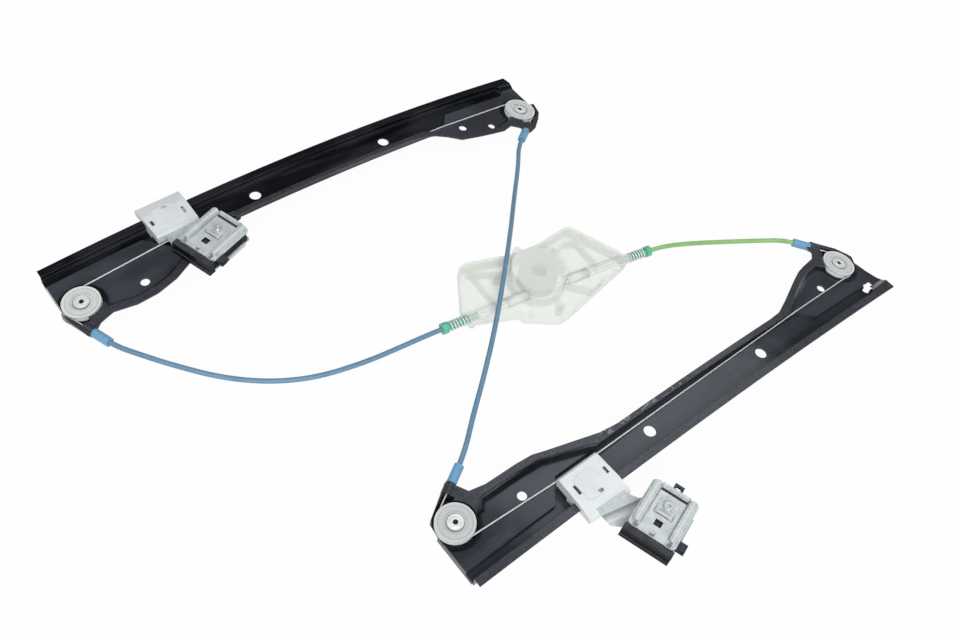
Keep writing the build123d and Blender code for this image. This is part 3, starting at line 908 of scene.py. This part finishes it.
@dataclass
class Finishes:
    """Every finish of the regulator, by the record's slot name or by the name of one part."""

    left_slots: tuple[Slot, ...] = (
        Slot(-0.2562, 0.2647, 0.0032, 0.007),
        Slot(-0.2227, 0.2642, 0.003, 0.0095),
    )
    right_slots: tuple[Slot, ...] = (
        Slot(-0.0679, -0.1944, 0.0032, 0.007),
        Slot(-0.1014, -0.1939, 0.003, 0.0095),
        Slot(-0.0849, -0.2064, 0.005, 0.0034),
    )
    right_crease: Crease = Crease(-0.0912, -0.2259, -0.0642, -0.2318)
    left_lip_y: float = 0.265
    grease_at: tuple[float, float] = (0.012, -0.1652)
    made: dict[str, bpy.types.Material] = field(default_factory=dict)

    def __post_init__(self) -> None:
        """Build the materials, one for each name."""
        looks = self.rails() | self.plastics() | self.metals() | self.wheels()
        materials: dict[str, bpy.types.Material] = {}
        for part, (name, finish) in looks.items():
            if name not in materials:
                materials[name] = finish.make(name)
            self.made[part] = materials[name]

    @staticmethod
    def centre(part: str) -> Point:
        """Middle of a part's box."""
        return tuple((low + high) / 2 for low, high in zip(*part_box(part)))

    def rails(self) -> Looks:
        """Choose the paint of both rails and the plastic of the sliders on them.

        Returns:
            Finishes by part.
        """
        left_seats = (self.centre("left_lower_pulley"), self.centre("left_upper_pulley"))
        right_seats = (self.centre("right_lower_pulley"), self.centre("right_upper_pulley"))
        left_arch, right_arch = (Arch((low[0] + high[0]) / 2) for low, high in (left_seats, right_seats))
        left = BlackPaint(left_arch, left_seats, gloss=0.31, floor_reflection=0.0, plateau_reflection=0.8,
                          top_sheen_ends_y=self.left_lip_y)
        right = BlackPaint(right_arch, right_seats, grease_at=self.grease_at)
        return {
            "left_rail": ("black_dip_paint", left),
            "right_rail": ("greased_dip_paint", right),
            "left_slider": ("left_slider_plastic", SliderPlastic(arch=left_arch, slots=self.left_slots)),
            "right_slider": ("right_slider_plastic", SliderPlastic(arch=right_arch, slots=self.right_slots)),
        }

    def plastics(self) -> Looks:
        """Choose the other plastics and the rubber.

        Returns:
            Finishes by slot.
        """
        drum = self.centre("cable_drum")
        duct = MilkyPlastic(drum, (0.86, 0.90, 0.86), dome_reach=0.0, alpha=0.58, rough=0.55)
        ferrule = Plastic((0.145, 0.345, 0.56), (0.175, 0.39, 0.60), 0.36, soft=0.05)
        return {
            "ferrule_blue": ("ferrule_plastic", ferrule),
            "cap_mint": ("cap_plastic", Plastic((0.115, 0.46, 0.30), (0.15, 0.53, 0.36), 0.34, soft=0.05)),
            "housing_clear": ("housing_plastic", MilkyPlastic(drum)),
            "cable_duct": ("duct_plastic", duct),
            "drum_white": ("drum_plastic", Plastic((0.72, 0.76, 0.72), (0.78, 0.8, 0.77), 0.4)),
            "conduit_blue": ("blue_conduit", Plastic((0.125, 0.25, 0.375), (0.15, 0.28, 0.41), 0.34)),
            "conduit_green": ("green_conduit", Plastic((0.255, 0.50, 0.17), (0.30, 0.56, 0.20), 0.34)),
            "liner_black": ("black_rubber", Rubber()),
        }

    def metals(self) -> Looks:
        """Choose the bare and plated metals.

        Returns:
            Finishes by slot or part.
        """
        plate: tuple[Colour, Colour] = ((0.53, 0.585, 0.60), (0.64, 0.69, 0.70))
        bright = Zinc((0.55, 0.58, 0.59), (0.68, 0.70, 0.71), 0.26, 0.5)
        looks: Looks = {
            "zinc_steel": ("zinc_plate", Zinc(*plate)),
            "right_bracket": ("creased_plate", Zinc(*plate, metal=0.25, crease=self.right_crease)),
            "spring_steel": ("spring_steel", Zinc((0.62, 0.70, 0.67), (0.76, 0.82, 0.79), 0.25, 0.25)),
            "cable_steel": ("steel_cable", Rope()),
        }
        for side in ("left", "right"):
            jaw = JawPlate(self.centre(f"{side}_clamp_jaw"), self.centre(f"{side}_clamp_bolt"))
            looks[f"{side}_clamp_jaw"] = (f"{side}_jaw_plate", jaw)
            looks[f"{side}_clamp_bolt"] = ("bright_zinc", bright)
        return looks

    def wheels(self) -> Looks:
        """Choose the plastic of each pulley and the plating of its rivet.

        Returns:
            Finishes by part.
        """
        looks: Looks = {}
        for name in ("left_lower", "left_upper", "right_lower", "right_upper"):
            centre = self.centre(f"{name}_pulley")
            looks[f"{name}_pulley"] = (f"{name}_wheel", PulleyPlastic(centre))
            looks[f"{name}_pulley_axle"] = (f"{name}_rivet", Rivet(centre))
        # A darker copy of the pulley finish: painted shade on the right lower wheel.
        shaded_wheel = PulleyPlastic(self.centre("right_lower_pulley"), (0.60, 0.62, 0.615), (0.51, 0.53, 0.53),
                               (0.35, 0.37, 0.38))
        looks["right_lower_pulley"] = ("right_lower_wheel", shaded_wheel)
        return looks

    def dress(self, thing: bpy.types.Object, name: str) -> None:
        """Give an object one finish.

        Args:
            thing: The object.
            name: The finish's name.
        """
        if not thing.data.materials:
            thing.data.materials.append(self.made[name])
        for number in range(len(thing.data.materials)):
            thing.data.materials[number] = self.made[name]


@dataclass
class Conduit:
    """One bent plastic conduit that the steel cable runs through."""

    node: str
    slot: str
    route: list[Point]
    diameter: float = 0.005

    def build(self, finishes: Finishes, length: float) -> bpy.types.Object:
        """Make the conduit as a smooth curve on its route.

        Args:
            finishes: The regulator's finishes.
            length: Its length in metres. Not used.

        Returns:
            The new piece.
        """
        curve = bpy.data.curves.new(f"{self.node}_tube", "CURVE")
        curve.dimensions = "3D"
        spline = curve.splines.new("NURBS")
        spline.points.add(len(self.route) - 1)
        for point, place in zip(spline.points, self.route):
            point.co = (*place, 1.0)
        spline.order_u = 3
        spline.use_endpoint_u = True
        spline.resolution_u = 12
        curve.bevel_depth = self.diameter / 2
        curve.bevel_resolution = 6
        curve.use_fill_caps = True
        piece = bpy.data.objects.new(f"{self.node}_tube", curve)
        bpy.context.scene.collection.objects.link(piece)
        finishes.dress(piece, self.slot)
        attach(piece, "frame")
        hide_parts(self.node)
        return piece


@dataclass
class Conduits:
    """The three conduits between the rails and the drum housing."""

    lower: list[Point] = field(default_factory=lambda: [
        (-0.35198, 0.17465, 0.01251), (-0.34767, 0.16239, 0.01297), (-0.33365, 0.14424, 0.01050),
        (-0.31668, 0.12200, 0.00860), (-0.28598, 0.08702, 0.00520), (-0.25103, 0.05949, 0.00320),
        (-0.21228, 0.04032, 0.00310), (-0.16590, 0.02819, 0.00620), (-0.12595, 0.02117, 0.01140),
        (-0.10077, 0.01716, 0.01450), (-0.07896, 0.01432, 0.01450),
    ])
    upper: list[Point] = field(default_factory=lambda: [
        (0.15815, -0.02137, 0.01450), (0.17590, -0.02438, 0.01450), (0.20183, -0.03140, 0.01160),
        (0.23735, -0.04576, 0.00760), (0.26868, -0.06290, 0.00730), (0.29405, -0.08089, 0.01120),
        (0.31212, -0.09640, 0.01552), (0.32210, -0.10754, 0.01446),
    ])
    crossing: list[Point] = field(default_factory=lambda: [
        (-0.17088, -0.11514, 0.01584), (-0.15311, -0.10421, 0.01776), (-0.12639, -0.08134, 0.01820),
        (-0.08971, -0.05246, 0.02350), (-0.04735, -0.01651, 0.02680), (-0.00031, 0.02736, 0.02700),
        (0.04606, 0.07137, 0.02300), (0.08908, 0.11451, 0.01850), (0.12508, 0.14974, 0.01650),
        (0.14552, 0.17363, 0.01731), (0.16136, 0.18397, 0.01563),
    ])

    def build(self, finishes: Finishes) -> None:
        """Make all three.

        Args:
            finishes: The regulator's finishes.
        """
        for node, slot, route, length in (
            ("lower_conduit", "conduit_blue", self.lower, 0.333),
            ("upper_conduit", "conduit_green", self.upper, 0.190),
            ("crossing_conduit", "conduit_blue", self.crossing, 0.449),
        ):
            piece = Conduit(node, slot, route).build(finishes, length)
            LOG.info("%s follows %d points", piece.name, len(route))

    def housing_ends(self) -> dict[str, Point]:
        """Where the conduits of the housing's two sides begin."""
        return {"left": self.lower[-1], "right": self.upper[0]}


@dataclass
class Springs:
    """The two coil springs between the housing and the conduit caps."""

    turns: int = 6
    half_length: float = 0.0102
    coil_r: float = 0.0046
    wire_r: float = 0.0009
    steps: int = 28
    sides: int = 8

    def coil(self, start: Vector, stop: Vector) -> bpy.types.Mesh:
        """Sweep the wire along its helix.

        Args:
            start: Middle of the first turn.
            stop: Middle of the last turn.

        Returns:
            The coil's mesh.
        """
        axis = (stop - start).normalized()
        across = axis.orthogonal().normalized()
        upward = axis.cross(across)
        count = self.turns * self.steps
        mesh = bpy.data.meshes.new("coil")
        points, faces = [], []
        for number in range(count + 1):
            angle = 2 * math.pi * number / self.steps
            spoke = across * math.cos(angle) + upward * math.sin(angle)
            middle = start.lerp(stop, number / count) + spoke * self.coil_r
            for side in range(self.sides):
                turn = 2 * math.pi * side / self.sides
                points.append(middle + (spoke * math.cos(turn) + axis * math.sin(turn)) * self.wire_r)
        for number in range(count):
            for side in range(self.sides):
                near, far = number * self.sides, (number + 1) * self.sides
                after = (side + 1) % self.sides
                faces.append((near + side, near + after, far + after, far + side))
        last = count * self.sides
        faces.append(tuple(range(self.sides - 1, -1, -1)))
        faces.append(tuple(range(last, last + self.sides)))
        mesh.from_pydata(points, [], faces)
        mesh.shade_smooth()
        return mesh

    def build(self, finishes: Finishes) -> None:
        """Make both.

        Args:
            finishes: The regulator's finishes.
        """
        for side in ("left", "right"):
            low, high = (Vector(corner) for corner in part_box(f"{side}_conduit_spring"))
            middle = (low + high) / 2
            line = Vector(Conduits().housing_ends()[side]) - middle
            half = line.normalized() * self.half_length
            half.z = 0.0
            piece = bpy.data.objects.new(f"{side}_coil_spring", self.coil(middle - half, middle + half))
            bpy.context.scene.collection.objects.link(piece)
            finishes.dress(piece, "spring_steel")
            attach(piece, "frame")
            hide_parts(f"{side}_conduit_spring")
            LOG.info("%s has %d turns", piece.name, self.turns)


@dataclass
class Ducts:
    """Raised covers over the two cable channels, between the drum's dome and the conduit sockets."""

    outer_r: float = 0.0055
    inner_r: float = 0.0043
    height: float = 0.0145
    foot: float = -0.0018
    steps: int = 16
    runs: dict[str, tuple[float, float, float, float]] = field(default_factory=lambda: {
        "left": (0.01326, 0.00230, -0.01272, 0.00568),
        "right": (0.06005, -0.00472, 0.08589, -0.00911),
    })

    def half_ring(self, radius: float) -> list[tuple[float, float]]:
        """Half a circle over the cable.

        Args:
            radius: Its radius.

        Returns:
            Places sideways and up from the cable.
        """
        angles = [math.pi * number / self.steps for number in range(self.steps + 1)]
        return [(radius * math.cos(angle), radius * math.sin(angle)) for angle in angles]

    def section(self) -> list[tuple[float, float]]:
        """The section of a cover, outside first, each side of it with a straight foot.

        Returns:
            Places sideways and up from the cable.
        """
        outside = [(self.outer_r, self.foot), *self.half_ring(self.outer_r), (-self.outer_r, self.foot)]
        inside = [(self.inner_r, self.foot), *self.half_ring(self.inner_r), (-self.inner_r, self.foot)]
        return outside + [(-wide, high) for wide, high in inside]

    def cover(self, name: str, start: Vector, stop: Vector) -> bpy.types.Mesh:
        """Draw the section out between two places on the cable.

        Args:
            name: The mesh's name.
            start: The end at the dome.
            stop: The end at the conduit's socket.

        Returns:
            The cover's mesh.
        """
        beside = (stop - start).normalized().cross(Vector((0, 0, 1)))
        offsets = [beside * wide + Vector((0, 0, high)) for wide, high in self.section()]
        points = [end + offset for end in (start, stop) for offset in offsets]
        count = len(offsets)
        faces = [(n, (n + 1) % count, count + (n + 1) % count, count + n) for n in range(count)]
        faces += [tuple(range(count - 1, -1, -1)), tuple(range(count, 2 * count))]
        mesh = bpy.data.meshes.new(name)
        mesh.from_pydata(points, [], faces)
        for number in range(count):
            mesh.polygons[number].use_smooth = 0 < number % (count // 2) <= self.steps
        return mesh

    def build(self, finishes: Finishes) -> None:
        """Make both.

        Args:
            finishes: The regulator's finishes.
        """
        for side, (x0, y0, x1, y1) in self.runs.items():
            start, stop = Vector((x0, y0, self.height)), Vector((x1, y1, self.height))
            name = f"{side}_cable_duct"
            piece = bpy.data.objects.new(name, self.cover(name, start, stop))
            bpy.context.scene.collection.objects.link(piece)
            finishes.dress(piece, "cable_duct")
            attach(piece, "frame")
            LOG.info("%s covers %.0f mm of cable", piece.name, (stop - start).length * 1000)


@dataclass
class SolidParts:
    """The rigid parts, each a solid of the frame, with rolled edges and a finish."""

    rail_bend: float = 0.0007
    plate_edge: float = 0.0005
    moulded_edge: float = 0.0006
    weld_gap: float = 0.000002
    sharp_angle: float = 32.0

    def soften(self, thing: bpy.types.Object, width: float) -> None:
        """Round a part's sharp edges.

        Args:
            thing: The part.
            width: Width of the rounding in metres.
        """
        weld = thing.modifiers.new("joined_faces", "WELD")
        weld.merge_threshold = self.weld_gap
        bevel = thing.modifiers.new("rolled_edges", "BEVEL")
        bevel.width = width
        bevel.segments = 2
        bevel.limit_method = "ANGLE"
        bevel.angle_limit = math.radians(self.sharp_angle)
        normals = thing.modifiers.new("even_shading", "WEIGHTED_NORMAL")
        normals.keep_sharp = False
        normals.weight = 100

    def dress(self, nodes: dict[str, bpy.types.Object], slots: dict[str, str], finishes: Finishes) -> None:
        """Finish every solid.

        Args:
            nodes: The frame's objects by name.
            slots: Each node's slot name.
            finishes: The regulator's finishes.
        """
        edges = {
            "rail": self.rail_bend,
            "jaw": self.plate_edge,
            "bracket": self.plate_edge,
            "nut": self.plate_edge,
            "slider": self.moulded_edge,
            "liner": self.moulded_edge,
            "housing": self.moulded_edge,
        }
        for name, thing in nodes.items():
            finish = name if name in finishes.made else slots[name]
            finishes.dress(thing, finish)
            width = edges.get(name.rsplit("_", 1)[-1])
            if width:
                self.soften(thing, width)
            LOG.info("%s is finished as %s", name, finish)


@dataclass(frozen=True)
class Lamp:
    """One soft rectangular lamp."""

    name: str
    place: Point
    aim: Point
    size: tuple[float, float]
    power: float
    mirrored: bool = True

    def hang(self) -> None:
        """Hang the lamp and turn it to what it lights."""
        data = bpy.data.lights.new(self.name, "AREA")
        data.shape = "RECTANGLE"
        data.size, data.size_y = self.size
        data.energy = self.power
        lamp = bpy.data.objects.new(self.name, data)
        lamp.location = self.place
        lamp.visible_glossy = self.mirrored
        lamp.rotation_euler = (Vector(self.aim) - Vector(self.place)).to_track_quat("-Z", "Y").to_euler()
        bpy.context.scene.collection.objects.link(lamp)


@dataclass
class Studio:
    """Camera, lamps, floor and world."""

    lens: float = 36.505
    place: Point = (-0.49686, -0.38197, 0.76561)
    right: Point = (0.77056, -0.62156, 0.14105)
    down: Point = (-0.43104, -0.67122, -0.60306)
    forward: Point = (0.46951, 0.40389, -0.78513)
    floor_reach: float = 4.0
    floor_gap: float = 0.0004
    floor_white: float = 0.965
    daylight: float = 0.13
    lamps: tuple[Lamp, ...] = (
        Lamp("ceiling", (0.80, 0.27, 1.48), (0, 0, 0), (1.15, 1.15), 5.5),
        Lamp("key", (-1.0, -1.3, 1.45), (0, 0, 0), (1.6, 1.2), 36.5),
        Lamp("fill", (-0.9, 0.6, 1.4), (-0.1, 0.1, 0), (1.0, 1.0), 5.5),
        Lamp("far", (0.75, 0.05, 1.1), (0.25, 0.05, 0), (1.0, 1.0), 3.0, mirrored=False),
    )

    def camera(self) -> None:
        """Place the camera at the photograph's viewpoint."""
        data = bpy.data.cameras.new("camera")
        data.lens = self.lens
        data.sensor_width = 36.0
        data.sensor_fit = "HORIZONTAL"
        data.clip_start = 0.05
        data.clip_end = 20.0
        camera = bpy.data.objects.new("camera", data)
        bpy.context.scene.collection.objects.link(camera)
        right, down, forward = Vector(self.right), Vector(self.down), Vector(self.forward)
        turn = Matrix((right, -down, -forward)).transposed()
        camera.matrix_world = Matrix.Translation(self.place) @ turn.to_4x4()
        bpy.context.scene.camera = camera

    def floor(self) -> None:
        """Lay a plain floor, white to the camera and in reflections, that keeps the soft shadow."""
        mesh = bpy.data.meshes.new("floor")
        reach = self.floor_reach
        corners = [(-reach, -reach, 0), (reach, -reach, 0), (reach, reach, 0), (-reach, reach, 0)]
        mesh.from_pydata(corners, [], [(0, 1, 2, 3)])
        floor = bpy.data.objects.new("floor", mesh)
        floor.location.z = -self.floor_gap
        bpy.context.scene.collection.objects.link(floor)
        g = Graph("white_sweep")
        kinds = ("Is Camera Ray", "Is Glossy Ray", "Is Transmission Ray")
        seen = reduce(Wire.at_least, (g.node("ShaderNodeLightPath", output=kind) for kind in kinds))
        cloth = g.node("ShaderNodeBsdfDiffuse", {}, {"Color": (0.86, 0.86, 0.86)})
        glow = g.node("ShaderNodeEmission", {}, {"Color": (1.0, 1.0, 1.0), "Strength": 1.0})
        blend = g.node("ShaderNodeMixShader", {}, {0: seen * self.floor_white, 1: cloth, 2: glow})
        g.tree.links.new(blend.socket, g.output.inputs["Surface"])
        mesh.materials.append(g.material)

    def world(self) -> None:
        """Light the scene softly from all round, from a world that is white to the camera."""
        world = bpy.data.worlds.new("studio")
        world.use_nodes = True
        tree = world.node_tree
        paths = tree.nodes.new("ShaderNodeLightPath")
        strength = tree.nodes.new("ShaderNodeMath")
        strength.operation = "MAXIMUM"
        strength.inputs[1].default_value = self.daylight
        back = tree.nodes["Background"]
        back.inputs["Color"].default_value = (1.0, 1.0, 1.0, 1.0)
        tree.links.new(paths.outputs["Is Camera Ray"], strength.inputs[0])
        tree.links.new(strength.outputs[0], back.inputs["Strength"])
        bpy.context.scene.world = world
        bpy.context.scene.view_settings.view_transform = "Standard"

    def build(self) -> None:
        """Set up the whole studio."""
        self.camera()
        self.world()
        self.floor()
        for lamp in self.lamps:
            lamp.hang()


def main() -> None:
    """Build the regulator's looks on the frame."""
    logging.basicConfig(level=logging.INFO, format="%(message)s")
    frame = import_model()
    nodes = frame["nodes"]
    slots = {part["node"]: part["material_slot"] for part in frame["record"]["subparts"]}
    Studio().build()
    finishes = Finishes()
    Conduits().build(finishes)
    Springs().build(finishes)
    Ducts().build(finishes)
    SolidParts().dress(nodes, slots, finishes)


if __name__ == "__main__":
    main()
